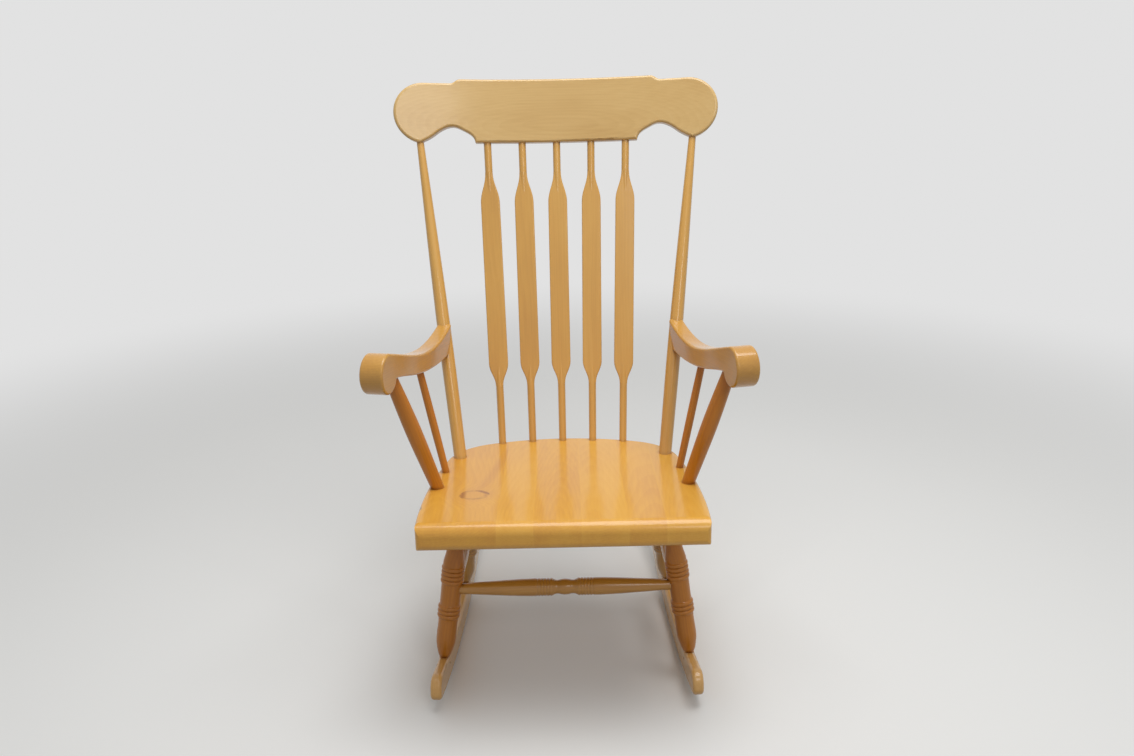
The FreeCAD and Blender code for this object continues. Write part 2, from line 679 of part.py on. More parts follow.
def build_under_seat(seat, nodes):
    """Legs, stretchers, rockers and pegs. Returns the sockets that the seat takes."""
    rocker = make_rocker_blank()
    feet = {"front": V(rocker_x(front_foot_y), front_foot_y, rocker_top_z(front_foot_y)),
            "rear": V(rocker_x(rear_foot_y), rear_foot_y, rocker_top_z(rear_foot_y))}
    tops = {"front": seat_bottom(front_leg_top_x, front_leg_top_y),
            "rear": seat_bottom(rear_leg_top_x, rear_leg_top_y)}
    blanks = {name: leg_body(tops[name], feet[name]) for name in feet}
    legs = {name: make_leg(tops[name], feet[name], seat, rocker) for name in feet}

    ends = {}
    for name, height in (("front", front_stretcher_z), ("rear", rear_stretcher_z)):
        end = at_height(feet[name], tops[name], height)
        ends[name] = (V(-end.x, end.y, end.z), end)
    side = (at_height(feet["front"], tops["front"], side_stretcher_z),
            at_height(feet["rear"], tops["rear"], side_stretcher_z))
    both = {name: [blanks[name], mirrored(blanks[name])] for name in blanks}
    nodes["front_stretcher"] = make_stretcher(front_stretcher_body, *ends["front"], both["front"])
    nodes["rear_stretcher"] = make_stretcher(plain_stretcher_body, *ends["rear"], both["rear"])
    side_piece = make_stretcher(plain_stretcher_body, *side, [blanks["front"], blanks["rear"]])
    nodes["side_stretcher_right"] = side_piece
    nodes["side_stretcher_left"] = mirrored(side_piece)

    pegs = []
    for name in ("front", "rear"):
        foot = feet[name]
        top = tops[name]
        side_start = side[0] if name == "front" else side[1]
        side_end = side[1] if name == "front" else side[0]
        holes = [stretcher_socket(ends[name][1], ends[name][0]), stretcher_socket(side_start, side_end)]
        peg_start = at_height(foot, top, foot.z - rocker_peg_drop)
        peg_start.x = rocker_x(peg_start.y) - rocker_width / 2 + rocker_peg_recess
        outward = peg_start + V(1, 0, 0)
        peg = rod(peg_start, outward, rocker_peg_radius, 0, rocker_peg_length)
        hole = rod(peg_start, outward, rocker_peg_radius + glue_gap / 2, cope_reach,
                   cope_reach + rocker_peg_length + glue_gap)
        pegs += [peg, mirrored(peg)]
        rocker = rocker.cut([socket(foot, top, leg_foot_tenon_radius, leg_foot_tenon_length), hole])
        leg = legs[name].cut(holes + [hole])
        nodes[name + "_leg_right"] = leg
        nodes[name + "_leg_left"] = mirrored(leg)
    nodes["rocker_right"] = rocker
    nodes["rocker_left"] = mirrored(rocker)
    nodes["rocker_pegs"] = Part.makeCompound(pegs)

    sockets = []
    for name in feet:
        hole = socket(tops[name], feet[name], leg_seat_tenon_radius, leg_seat_tenon_length)
        sockets += [hole, mirrored(hole)]
    return sockets


def build_arms(seat, post, nodes):
    """Arms, arm posts, arm spindles, screws and plugs. Returns the seat's sockets and the post's holes."""
    blank = make_arm_blank()
    stout = (seat_top(arm_post_base_x, arm_post_base_y),
             arm_point(arm_post_top_at, arm_lip_z - arm_post_top_below_lip))
    slim = (seat_top(arm_spindle_base_x, arm_spindle_base_y),
            arm_point(arm_spindle_top_at, arm_middle_bottom_z - arm_spindle_top_below_middle))

    sockets = []
    arm = blank
    for ends, name, body, radius, low, high in (
            (stout, "front_arm_post", arm_post_body, arm_post_tenon_radius,
             arm_post_seat_tenon_length, arm_post_arm_tenon_length),
            (slim, "arm_spindle", arm_spindle_body, arm_spindle_tenon_radius,
             arm_spindle_tenon_length, arm_spindle_tenon_length)):
        base, top = ends
        tenons = [tenon(base, top, radius, low), tenon(top, base, radius, high)]
        piece = tenoned(body(base, top), [seat, blank], tenons)
        nodes[name + "_right"] = piece
        nodes[name + "_left"] = mirrored(piece)
        arm = arm.cut(socket(top, base, radius, high))
        hole = socket(base, top, radius, low)
        sockets += [hole, mirrored(hole)]

    post_base_point, post_top_point = post
    cross = at_height(post_base_point, post_top_point, arm_screw_z)
    forward = (arm_point(1, 0) - arm_point(0, 0)).normalize()
    end_plane = Part.makeBox(far, far, far, V(0, -far / 2, -far / 2))
    lean = (post_top_point - post_base_point).normalize()
    lean_in_arm = (lean - forward.cross(UP) * lean.dot(forward.cross(UP))).normalize()
    normal = forward - lean_in_arm * forward.dot(lean_in_arm)
    end_plane.Placement = FreeCAD.Placement(cross - forward * arm_end_before_post_axis,
                                            FreeCAD.Rotation(V(1, 0, 0), normal))
    arm = arm.cut(end_plane).cut(post_body(*post))

    back = cross + forward * post_swell_radius
    seat_of_head = back - forward * arm_plug_length
    head_depth = arm_screw_head_radius - arm_screw_radius
    gap = glue_gap / 2

    def screw_shape(extra):
        head = Part.makeCone(arm_screw_head_radius + extra, arm_screw_radius + extra, head_depth)
        shank = Part.makeCylinder(arm_screw_radius + extra, arm_screw_length + extra)
        return aimed(head.fuse(shank), seat_of_head, seat_of_head - forward)

    screw = screw_shape(0)
    plug_length = arm_plug_length - arm_plug_recess - glue_gap
    plug = rod(back - forward * arm_plug_recess, seat_of_head, arm_plug_radius, 0, plug_length)
    bore = rod(back, seat_of_head, arm_plug_radius + gap, cope_reach, cope_reach + arm_plug_length)
    nodes["arm_screws"] = Part.makeCompound([screw, mirrored(screw)])
    nodes["arm_screw_plugs"] = Part.makeCompound([plug, mirrored(plug)])
    screw_hole = screw_shape(gap)
    arm = arm.cut(screw_hole)
    nodes["arm_right"] = arm
    nodes["arm_left"] = mirrored(arm)
    return sockets, [screw_hole, bore]


def build_back(seat, crest, post, post_holes, nodes):
    """Back posts, spindles, crest rail and its pins. Returns the sockets that the seat takes."""
    base, top = post
    lean = math.radians(crest_lean)
    square = V(0, math.cos(lean), -math.sin(lean))
    piece = tenoned(post_body(base, top), [seat, crest],
                    [tenon(base, top, post_seat_tenon_radius, post_seat_tenon_length),
                     tenon(top, base, post_crest_tenon_radius, post_crest_tenon_length)])
    on_axis = top + (top - base).normalize() * crest_pin_height
    pin_back = on_axis + square * (crest_thickness / 2 - crest_pin_recess)
    pin = rod(pin_back, on_axis, crest_pin_radius, 0, crest_pin_length)
    pin_hole = rod(pin_back, on_axis, crest_pin_radius + glue_gap / 2, cope_reach,
                   cope_reach + crest_pin_length + glue_gap)
    piece = piece.cut(post_holes + [pin_hole])
    nodes["back_post_right"] = piece
    nodes["back_post_left"] = mirrored(piece)
    nodes["crest_pins"] = Part.makeCompound([pin, mirrored(pin)])

    post_socket = socket(top, base, post_crest_tenon_radius, post_crest_tenon_length)
    crest_holes = [post_socket, mirrored(post_socket), pin_hole, mirrored(pin_hole)]
    foot_hole = socket(base, top, post_seat_tenon_radius, post_seat_tenon_length)
    seat_holes = [foot_hole, mirrored(foot_hole)]
    for number in range(1, spindle_count + 1):
        low, high = spindle_ends(number)
        tenons = [tenon(low, high, spindle_tenon_radius, spindle_seat_tenon_length),
                  tenon(high, low, spindle_tenon_radius, spindle_crest_tenon_length)]
        nodes["back_spindle_%d" % number] = tenoned(spindle_body(low, high), [seat, crest], tenons)
        seat_holes.append(socket(low, high, spindle_tenon_radius, spindle_seat_tenon_length))
        crest_holes.append(socket(high, low, spindle_tenon_radius, spindle_crest_tenon_length))
    nodes["crest_rail"] = crest.cut(crest_holes)
    return seat_holes


def split_seat(seat, nodes):
    """Cut the finished seat along its glue lines into the boards that it is glued from."""
    lines = (-seat_width,) + seat_glue_lines + (seat_width,)
    for number in range(len(lines) - 1):
        left = lines[number]
        slab = Part.makeBox(lines[number + 1] - left, far, far, V(left, -far / 2, -far / 2))
        nodes["seat_board_%d" % (number + 1)] = seat.common(slab)


def build():
    """All nodes of the chair, by name, with the origin at the bottom centre of its box."""
    nodes = {}
    seat = make_seat_blank()
    crest = make_crest_blank()
    post_top = crest_point(post_top_x, crest_ear_low + crest_post_above_ear_low)
    post = (seat_top(post_base_x, post_base_y), post_top)
    sockets = build_under_seat(seat, nodes)
    arm_sockets, post_holes = build_arms(seat, post, nodes)
    sockets += arm_sockets
    sockets += build_back(seat, crest, post, post_holes, nodes)
    split_seat(seat.cut(sockets), nodes)

    nodes = {name: solids_of(shape) for name, shape in nodes.items()}
    box = Part.makeCompound(list(nodes.values())).optimalBoundingBox(False, False)
    shift = V(0, -(box.YMin + box.YMax) / 2, 0)
    for shape in nodes.values():
        shape.translate(shift)
    return nodes, shift


def centre_of_mass(nodes):
    """Balance point of all pieces, taken as one even wood."""
    total = sum(shape.Volume for shape in nodes.values())
    centre = V(0, 0, 0)
    for shape in nodes.values():
        for solid in shape.Solids:
            centre += solid.CenterOfMass * (solid.Volume / total)
    return centre, total


os.makedirs("parts", exist_ok=True)
all_nodes, moved = build()
for node_name in sorted(all_nodes):
    piece = all_nodes[node_name]
    piece.exportStep("parts/" + node_name + ".step")
    print("%-24s solids %d  valid %s  volume %.0f mm3" % (
        node_name, len(piece.Solids), piece.isValid(), piece.Volume))
whole = Part.makeCompound(list(all_nodes.values())).optimalBoundingBox(False, False)
balance, volume = centre_of_mass(all_nodes)
print("box x %.2f to %.2f, y %.2f to %.2f, z %.2f to %.2f mm" % (
    whole.XMin, whole.XMax, whole.YMin, whole.YMax, whole.ZMin, whole.ZMax))
print("moved by %.3f mm along y, floor contact y %.1f mm" % (moved.y, rocker_contact_y + moved.y))
print("balance point %.1f %.1f %.1f mm, volume %.0f mm3" % (*balance, volume))
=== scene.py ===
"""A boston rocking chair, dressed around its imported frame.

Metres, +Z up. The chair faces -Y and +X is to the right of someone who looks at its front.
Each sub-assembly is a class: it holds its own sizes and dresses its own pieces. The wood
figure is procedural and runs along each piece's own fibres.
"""

import logging
import math
from dataclasses import dataclass, field
from enum import Enum
from typing import Optional, Sequence

import bpy
import numpy as np
from mathutils import Matrix, Vector

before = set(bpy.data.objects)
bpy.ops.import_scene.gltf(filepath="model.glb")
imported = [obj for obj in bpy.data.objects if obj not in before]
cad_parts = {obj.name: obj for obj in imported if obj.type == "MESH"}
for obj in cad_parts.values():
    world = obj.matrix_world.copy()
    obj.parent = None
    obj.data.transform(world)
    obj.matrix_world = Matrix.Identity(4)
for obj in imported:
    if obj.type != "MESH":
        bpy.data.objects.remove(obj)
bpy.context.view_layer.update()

LOG = logging.getLogger("rocking_chair")

Colour = tuple[float, float, float]
Point = tuple[float, float, float]
Socket = bpy.types.NodeSocket

MM = 0.001


def linear(colour: Colour) -> tuple[float, float, float, float]:
    """Turns a screen colour from 0 to 255 into the scene's linear RGBA."""
    channels = []
    for value in colour:
        share = value / 255.0
        channels.append(share / 12.92 if share <= 0.04045 else ((share + 0.055) / 1.055) ** 2.4)
    return (channels[0], channels[1], channels[2], 1.0)


class Cut(Enum):
    """How a piece was cut from the log: how far away the heart of the tree lies."""

    TURNED = 0.035
    SAWN = 0.075
    PLANK = 0.110


@dataclass(frozen=True)
class GrainRun:
    """The line that a piece's fibres follow, and which part of the tree it came from."""

    through: Point
    along: Point
    cut: Cut
    billet: int

    def mapping(self) -> tuple[Vector, Vector]:
        """Rotation and shift that take object coordinates to fibre coordinates.

        Returns:
            The Euler angles and the location for a Mapping node, after which Z runs along
            the fibres and the heart of the tree is the Z axis.
        """
        turn = Vector(self.along).rotation_difference(Vector((0, 0, 1))).to_matrix()
        angle = 2.399963 * self.billet
        away = self.cut.value * (1.0 + 0.35 * math.sin(1.7 * self.billet))
        heart = Vector((away * math.cos(angle), away * math.sin(angle), 0.83 * self.billet))
        if self.cut is Cut.PLANK:
            heart = Vector((0.018 * math.sin(2.1 * self.billet), away, 0.83 * self.billet))
        return Vector(turn.to_euler("XYZ")), heart - turn @ Vector(self.through)


class Nodes:
    """Short ways to add and join the shader nodes that the finishes use."""

    def __init__(self, tree: bpy.types.NodeTree) -> None:
        """Keeps the tree that every node goes into.

        Args:
            tree: The material's or the group's node tree.
        """
        self.tree = tree
        self.count = 0

    def add(self, kind: str, **settings: object) -> bpy.types.Node:
        """Adds one node and sets its properties.

        Args:
            kind: The node's type name, without its leading "ShaderNode".
            **settings: Properties of the node.

        Returns:
            The new node.
        """
        node = self.tree.nodes.new("ShaderNode" + kind)
        node.location = (180 * (self.count % 12), -260 * (self.count // 12))
        self.count += 1
        for key, value in settings.items():
            setattr(node, key, value)
        return node

    def put(self, socket: Socket, value: object) -> None:
        """Links a socket to another, or writes a plain value into it."""
        if isinstance(value, bpy.types.NodeSocket):
            self.tree.links.new(value, socket)
        else:
            socket.default_value = value

    def math(self, operation: str, *values: object, clamp: bool = False) -> Socket:
        """Adds a Math node.

        Args:
            operation: The node's operation.
            *values: Sockets or numbers, in the order of its inputs.
            clamp: Whether the result is held between 0 and 1.

        Returns:
            The result's socket.
        """
        node = self.add("Math", operation=operation, use_clamp=clamp)
        for socket, value in zip(node.inputs, values):
            self.put(socket, value)
        return node.outputs[0]

    def vector(self, operation: str, *values: object) -> Socket:
        """Adds a Vector Math node and returns its vector, or its number for LENGTH.

        Args:
            operation: The node's operation.
            *values: Sockets or triples, in the order of its inputs.

        Returns:
            The result's socket.
        """
        node = self.add("VectorMath", operation=operation)
        for socket, value in zip(node.inputs, values):
            self.put(socket, value)
        return node.outputs["Value" if operation in ("LENGTH", "DISTANCE") else "Vector"]

    def noise(self, place: Socket, scale: float, detail: float, colour: bool = False) -> Socket:
        """Adds a 3-D noise.

        Args:
            place: Where it is read.
            scale: Its scale.
            detail: Its octaves.
            colour: Whether three channels are wanted and not one.

        Returns:
            The noise, about 0.5 in the middle.
        """
        node = self.add("TexNoise", noise_dimensions="3D")
        self.put(node.inputs["Vector"], place)
        node.inputs["Scale"].default_value = scale
        node.inputs["Detail"].default_value = detail
        return node.outputs[1 if colour else 0]

    def span(self, value: Socket, low: float, high: float, start: float = 0.0, end: float = 1.0,
             smooth: bool = False) -> Socket:
        """Maps low..high to start..end, clamped.

        Args:
            value: What is mapped.
            low: The value that becomes start.
            high: The value that becomes end.
            start: Result at low.
            end: Result at high.
            smooth: Whether the ramp eases in and out.

        Returns:
            The mapped value.
        """
        node = self.add("MapRange", interpolation_type="SMOOTHSTEP" if smooth else "LINEAR")
        for socket, number in zip(node.inputs, (value, low, high, start, end)):
            self.put(socket, number)
        return node.outputs[0]

    def tint(self, factor: object, below: object, above: object, blend: str = "MIX") -> Socket:
        """Adds a colour Mix node.

        Args:
            factor: How much of the second colour shows.
            below: First colour.
            above: Second colour.
            blend: The blend type.

        Returns:
            The mixed colour.
        """
        node = self.add("Mix", data_type="RGBA", blend_type=blend)
        self.put(node.inputs[0], factor)
        self.put(node.inputs[6], below)
        self.put(node.inputs[7], above)
        return node.outputs[2]


def timber_group() -> bpy.types.NodeTree:
    """Builds the group that gives the figure of a hardwood in fibre coordinates.

    Returns:
        A group with the input Fibre Place and Ring Pitch, in metres, and the outputs Rings,
        Streak, Fibre and Mottle, each from 0 to 1.
    """
    group = bpy.data.node_groups.new("timber_figure", "ShaderNodeTree")
    face = group.interface
    face.new_socket("Fibre Place", in_out="INPUT", socket_type="NodeSocketVector")
    face.new_socket("Ring Pitch", in_out="INPUT", socket_type="NodeSocketFloat")
    for name in ("Rings", "Streak", "Fibre", "Mottle"):
        face.new_socket(name, in_out="OUTPUT", socket_type="NodeSocketFloat")
    make = Nodes(group)
    given = group.nodes.new("NodeGroupInput")
    result = group.nodes.new("NodeGroupOutput")
    place = given.outputs[0]

    slow = make.vector("MULTIPLY", place, (1.0, 1.0, 0.30))
    drift = make.vector("SUBTRACT", make.noise(slow, 7.0, 2.0, colour=True), (0.5, 0.5, 0.5))
    bent = make.vector("ADD", place, make.vector("MULTIPLY", drift, (0.022, 0.022, 0.0)))

    across = make.vector("LENGTH", make.vector("MULTIPLY", bent, (1.0, 1.0, 0.0)))
    turns = make.math("DIVIDE", across, given.outputs[1])
    year = make.math("FRACT", turns)
    rise = make.span(year, 0.0, 0.86, smooth=True)
    fall = make.span(year, 0.90, 1.0, 1.0, 0.0, smooth=True)
    rings = make.math("MULTIPLY", rise, fall)

    streak = make.noise(make.vector("MULTIPLY", bent, (230.0, 230.0, 5.0)), 1.0, 3.0)
    fibre = make.noise(make.vector("MULTIPLY", place, (1700.0, 1700.0, 34.0)), 1.0, 2.0)
    mottle = make.noise(make.vector("MULTIPLY", bent, (17.0, 17.0, 4.5)), 1.0, 3.0)
    for socket, value in zip(result.inputs, (rings, streak, fibre, mottle)):
        make.put(socket, value)
    return group


@dataclass(frozen=True)
class LacqueredWood:
    """A hardwood under clear or tinted lacquer.

    The colours are screen colours. The shares say how much each part of the figure moves the
    tone, and the pitch is the width of a year's growth.
    """

    name: str
    slot: str
    pale: Colour
    middle: Colour
    deep: Colour
    # Colour multiplied into hollows and joins: stain in turned grooves, and painted shade.
    hollow_stain_and_shade: Colour
    ring_pitch: float = 4.2 * MM
    ring_share: float = 0.05
    streak_share: float = 0.24
    fibre_share: float = 0.10
    mottle_share: float = 0.42
    # How far hollows and joins darken: stain in grooves plus painted shade.
    hollow_stain_and_shade_depth: float = 0.75
    wear: float = 0.30
    roughness: float = 0.42
    coat: float = 0.9
    coat_roughness: float = 0.13
    relief: float = 0.10

    def material(self, piece: str, grain: GrainRun, figure: bpy.types.NodeTree,
                 marks: Optional["SurfaceMarks"] = None, tone: float = 0.0) -> bpy.types.Material:
        """Makes the material of one piece.

        Args:
            piece: The piece's name, which the material's name holds too.
            grain: Where the fibres run.
            figure: The group of timber_group.
            marks: Knots, joints or marks that only this piece has.
            tone: How much paler this piece is than its neighbours, from -0.5 to 0.5.

        Returns:
            The material.
        """
        material = bpy.data.materials.new(self.name + "." + piece)
        material.use_nodes = True
        tree = material.node_tree
        tree.nodes.clear()
        make = Nodes(tree)
        where = make.add("TexCoord").outputs["Object"]
        rotation, location = grain.mapping()
        to_fibre = make.add("Mapping", vector_type="POINT")
        make.put(to_fibre.inputs["Vector"], where)
        to_fibre.inputs["Rotation"].default_value = rotation
        to_fibre.inputs["Location"].default_value = location
        place = to_fibre.outputs[0]
        if marks:
            place = marks.part_fibres(make, where, place)

        wood = make.add("Group", node_tree=figure)
        make.put(wood.inputs[0], place)
        wood.inputs[1].default_value = self.ring_pitch
        rings, streak, fibre, mottle = wood.outputs[:4]

        depth = make.math("ADD", 0.5, tone)
        for part, share in ((rings, -self.ring_share), (streak, self.streak_share),
                            (fibre, self.fibre_share), (mottle, self.mottle_share)):
            depth = make.math("MULTIPLY_ADD", make.math("SUBTRACT", part, 0.5), share, depth)
        ramp = make.add("ValToRGB")
        steps = ramp.color_ramp.elements
        steps[0].position, steps[0].color = 0.22, linear(self.deep)
        steps[1].position, steps[1].color = 0.80, linear(self.pale)
        steps.new(0.52).color = linear(self.middle)
        make.put(ramp.inputs[0], depth)
        colour = ramp.outputs[0]
        if marks:
            colour = marks.paint(make, where, colour)

        # Hollows, grooves and joins between parts, found by occlusion, are darkened toward the
        # hollow colour: partly stain collected in turned grooves, partly painted shade.
        hollow = make.add("AmbientOcclusion", samples=6, inside=False, only_local=False)
        hollow.inputs["Distance"].default_value = 9 * MM
        stain_and_painted_shade = make.span(hollow.outputs["AO"], 0.25, 0.92, self.hollow_stain_and_shade_depth, 0.0)
        colour = make.tint(stain_and_painted_shade, colour, linear(self.hollow_stain_and_shade), "MULTIPLY")

        edge = make.add("AmbientOcclusion", samples=6, inside=True, only_local=True)
        edge.inputs["Distance"].default_value = 2.5 * MM
        rubbed = make.math("MULTIPLY", make.span(edge.outputs["AO"], 0.98, 0.72),
                           make.span(streak, 0.35, 0.65, 0.45, 1.0))
        worn = make.math("MULTIPLY", rubbed, self.wear)
        colour = make.tint(worn, colour, linear(self.pale))

        shader = make.add("BsdfPrincipled")
        make.put(shader.inputs["Base Color"], colour)
        gloss = make.math("MULTIPLY_ADD", make.math("SUBTRACT", mottle, 0.5), 0.25, self.roughness)
        make.put(shader.inputs["Roughness"], make.math("MULTIPLY_ADD", worn, 0.2, gloss))
        shader.inputs["Specular IOR Level"].default_value = 0.35
        shader.inputs["Coat Weight"].default_value = self.coat
        shader.inputs["Coat Roughness"].default_value = self.coat_roughness
        shader.inputs["Coat IOR"].default_value = 1.48
        bump = make.add("Bump")
        bump.inputs["Strength"].default_value = 0.35
        bump.inputs["Distance"].default_value = self.relief * MM
        height = make.math("MULTIPLY_ADD", fibre, 0.6, make.math("MULTIPLY", rings, 0.4))
        make.put(bump.inputs["Height"], height)
        make.put(shader.inputs["Normal"], bump.outputs[0])
        output = make.add("OutputMaterial")
        make.put(output.inputs[0], shader.outputs[0])
        return material


class SurfaceMarks:
    """Something that only one piece's surface shows. This plain one shows nothing."""

    def part_fibres(self, make: Nodes, where: Socket, place: Socket) -> Socket:
        """Lets the fibres flow round the mark.

        Args:
            make: The material's nodes.
            where: Object coordinates.
            place: Fibre coordinates.

        Returns:
            The fibre coordinates that the figure is read at.
        """
        return place

    def paint(self, make: Nodes, where: Socket, colour: Socket) -> Socket:
        """Paints the mark over the wood.

        Args:
            make: The material's nodes.
            where: Object coordinates.
            colour: The wood's colour.

        Returns:
            The colour with the mark.
        """
        return colour


@dataclass(frozen=True)
class SteelFinish:
    """Bright drawn steel with fine marks along its length."""

    name: str = "drawn_steel"
    colour: Colour = (176, 174, 170)
    dark: Colour = (110, 106, 100)
    roughness: float = 0.34

    def material(self) -> bpy.types.Material:
        """Makes the material."""
        material = bpy.data.materials.new(self.name)
        material.use_nodes = True
        tree = material.node_tree
        tree.nodes.clear()
        make = Nodes(tree)
        where = make.add("TexCoord").outputs["Object"]
        lines = make.noise(make.vector("MULTIPLY", where, (3000.0, 240.0, 3000.0)), 1.0, 2.0)
        colour = make.tint(make.span(lines, 0.35, 0.65), linear(self.dark), linear(self.colour))
        shader = make.add("BsdfPrincipled")
        make.put(shader.inputs["Base Color"], colour)
        shader.inputs["Metallic"].default_value = 1.0
        make.put(shader.inputs["Roughness"], make.span(lines, 0.3, 0.7, self.roughness, 0.5))
        make.put(make.add("OutputMaterial").inputs[0], shader.outputs[0])
        return material


GOLD_SEAT = LacqueredWood("gold_seat", "seat_wood", (236, 182, 78), (226, 166, 60),
                          (206, 139, 44), (146, 82, 26), coat=0.7)
TAN_CREST = LacqueredWood("tan_crest", "crest_wood", (224, 190, 126), (213, 175, 108),
                          (196, 153, 84), (150, 100, 50))
TAN_STICK = LacqueredWood("tan_stick", "spindle_wood", (224, 177, 94), (213, 161, 74),
                          (194, 140, 62), (150, 92, 38))
AMBER_ARM = LacqueredWood("amber_arm", "arm_wood", (218, 169, 80), (202, 147, 58),
                          (178, 122, 46), (140, 82, 28))
# Darker, more orange copy of the honey turned wood: partly the turnings' own amber, partly painted
# shade as under the seat.
AMBER_TURNED_PAINTED_SHADE = LacqueredWood("amber_turned_painted_shade", "turned_wood", (214, 146, 42), (194, 121, 22),
                             (162, 93, 12), (112, 60, 12), coat=0.45, roughness=0.5)
HONEY_LEG = LacqueredWood("honey_leg", "turned_wood", (226, 182, 112), (212, 162, 88),
                          (188, 134, 62), (135, 84, 34))
HONEY_STRETCHER = LacqueredWood("honey_stretcher", "stretcher_wood", (214, 162, 74),
                                (194, 137, 50), (166, 108, 34), (120, 70, 20))
TAN_ROCKER = LacqueredWood("tan_rocker", "rocker_wood", (226, 180, 110), (210, 160, 86),
                           (186, 132, 62), (140, 86, 38))
PLUG_END = LacqueredWood("plug_end", "plug_wood", (200, 150, 84), (180, 128, 66), (150, 98, 48),
                         (110, 66, 32))


@dataclass
class Workshop:
    """Dresses pieces: it keeps the shared figure and counts the billets as they are used."""

    figure: bpy.types.NodeTree = field(default_factory=timber_group)
    used: int = 0

    def long_axis(self, node: str) -> tuple[Point, Point]:
        """Finds the line along which a straight piece is longest.

        Args:
            node: A CAD node's name.

        Returns:
            A point on the line and its direction.
        """
        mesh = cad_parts[node].data
        points = np.empty(len(mesh.vertices) * 3)
        mesh.vertices.foreach_get("co", points)
        points = points.reshape(-1, 3)
        middle = points.mean(axis=0)
        spread = np.linalg.svd(points - middle, full_matrices=False)[2][0]
        return tuple(middle), tuple(spread * (1 if spread[2] >= 0 else -1))

    def dress(self, node: str, finish: LacqueredWood, cut: Cut, along: Optional[Point] = None,
              marks: Optional[SurfaceMarks] = None, tone: float = 0.0) -> None:
        """Gives a CAD node its own wood.

        Args:
            node: The node's name.
            finish: Its finish.
            cut: How the piece was cut.
            along: The fibres' direction, or None for the piece's own long axis.
            marks: Marks that only this piece has.
            tone: How much paler it is than its neighbours.
        """
        self.used += 1
        middle, axis = self.long_axis(node)
        grain = GrainRun(middle, along or axis, cut, self.used)
        put_on(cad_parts[node], finish.material(node, grain, self.figure, marks, tone))
        LOG.info("dressed %s in %s", node, finish.name)


def put_on(piece: bpy.types.Object, material: bpy.types.Material) -> None:
    """Sets every material slot of an object to one material."""
    if not piece.material_slots:
        piece.data.materials.append(material)
    for slot in piece.material_slots:
        slot.material = material


@dataclass(frozen=True)
class Knot(SurfaceMarks):
    """An oval knot on a board's face: a brown outline round pale wood, and a brown band."""

    x: float = -160 * MM
    y: float = -238 * MM
    half_x: float = 25 * MM
    half_y: float = 21 * MM
    heart: Colour = (138, 72, 30)
    halo: Colour = (206, 146, 74)
    band: Colour = (186, 118, 54)
    line_share: float = 0.33
    dark_share: float = 0.55
    halo_share: float = 0.34
    band_share: float = 0.28
    smudge: float = 0.75

    def reach(self, make: Nodes, where: Socket, wobble: float) -> Socket:
        """Distance from the knot's middle, where 1 is its outline.

        Args:
            make: The material's nodes.
            where: Object coordinates.
            wobble: How uneven the outline is.

        Returns:
            The distance.
        """
        loose = make.vector("SUBTRACT", make.noise(where, 60.0, 2.0, colour=True), (0.5, 0.5, 0.5))
        moved = make.vector("ADD", where, make.vector("MULTIPLY", loose, (wobble, wobble, 0.0)))
        from_middle = make.vector("SUBTRACT", moved, (self.x, self.y, 0.0))
        sized = make.vector("MULTIPLY", from_middle, (1 / self.half_x, 1 / self.half_y, 0.0))
        return make.vector("LENGTH", sized)

    def part_fibres(self, make: Nodes, where: Socket, place: Socket) -> Socket:
        """Lets the fibres flow round the knot."""
        near = make.span(self.reach(make, where, 0.0), 0.4, 3.2, 1.0, 0.0, smooth=True)
        push = make.add("CombineXYZ")
        make.put(push.inputs[0], make.math("MULTIPLY", near, 9 * MM))
        make.put(push.inputs[1], make.math("MULTIPLY", near, 12 * MM))
        return make.vector("ADD", place, push.outputs[0])

    def paint(self, make: Nodes, where: Socket, colour: Socket) -> Socket:
        """Paints the outline, dark at its left and upper right, a halo and a band to the rear."""
        reach = self.reach(make, where, 8 * MM)
        line = make.math("MULTIPLY", make.span(reach, 0.62, 0.90, smooth=True),
                         make.span(reach, 0.98, 1.14, 1.0, 0.0, smooth=True))
        apart = make.add("SeparateXYZ")
        make.put(apart.inputs[0], where)
        east = make.math("DIVIDE", make.math("SUBTRACT", apart.outputs[0], self.x), self.half_x)
        north = make.math("DIVIDE", make.math("SUBTRACT", apart.outputs[1], self.y), self.half_y)
        left = make.span(east, -0.45, -0.85, smooth=True)
        upper_right = make.span(make.math("ADD", east, north), 0.75, 1.25, smooth=True)
        strong = make.math("MAXIMUM", left, upper_right)
        broken = make.span(make.noise(where, 150.0, 2.0), 0.38, 0.60, 0.45, 1.0)
        weight = make.math("MULTIPLY_ADD", strong, self.dark_share, self.line_share)
        line = make.math("MULTIPLY", line, weight)
        line = make.math("MULTIPLY", line, broken)
        smudge = make.math("MULTIPLY", make.span(reach, 0.2, 0.75, smooth=True),
                           make.span(reach, 0.9, 1.1, 1.0, 0.0))
        smudge = make.math("MULTIPLY", make.math("MULTIPLY", smudge, strong), self.smudge)
        line = make.math("MAXIMUM", line, smudge)
        halo = make.span(reach, 0.9, 2.2, self.halo_share, 0.0, smooth=True)
        colour = make.tint(halo, colour, linear(self.halo))
        slant = make.math("MULTIPLY_ADD", north, -0.16, make.math("SUBTRACT", east, 0.25))
        off_band = make.math("ABSOLUTE", slant)
        band = make.math("MULTIPLY",
                         make.span(off_band, 0.05, 0.60, self.band_share, 0.0, smooth=True),
                         make.span(north, 1.0, 2.0, smooth=True))
        colour = make.tint(band, colour, linear(self.band))
        return make.tint(line, colour, linear(self.heart))


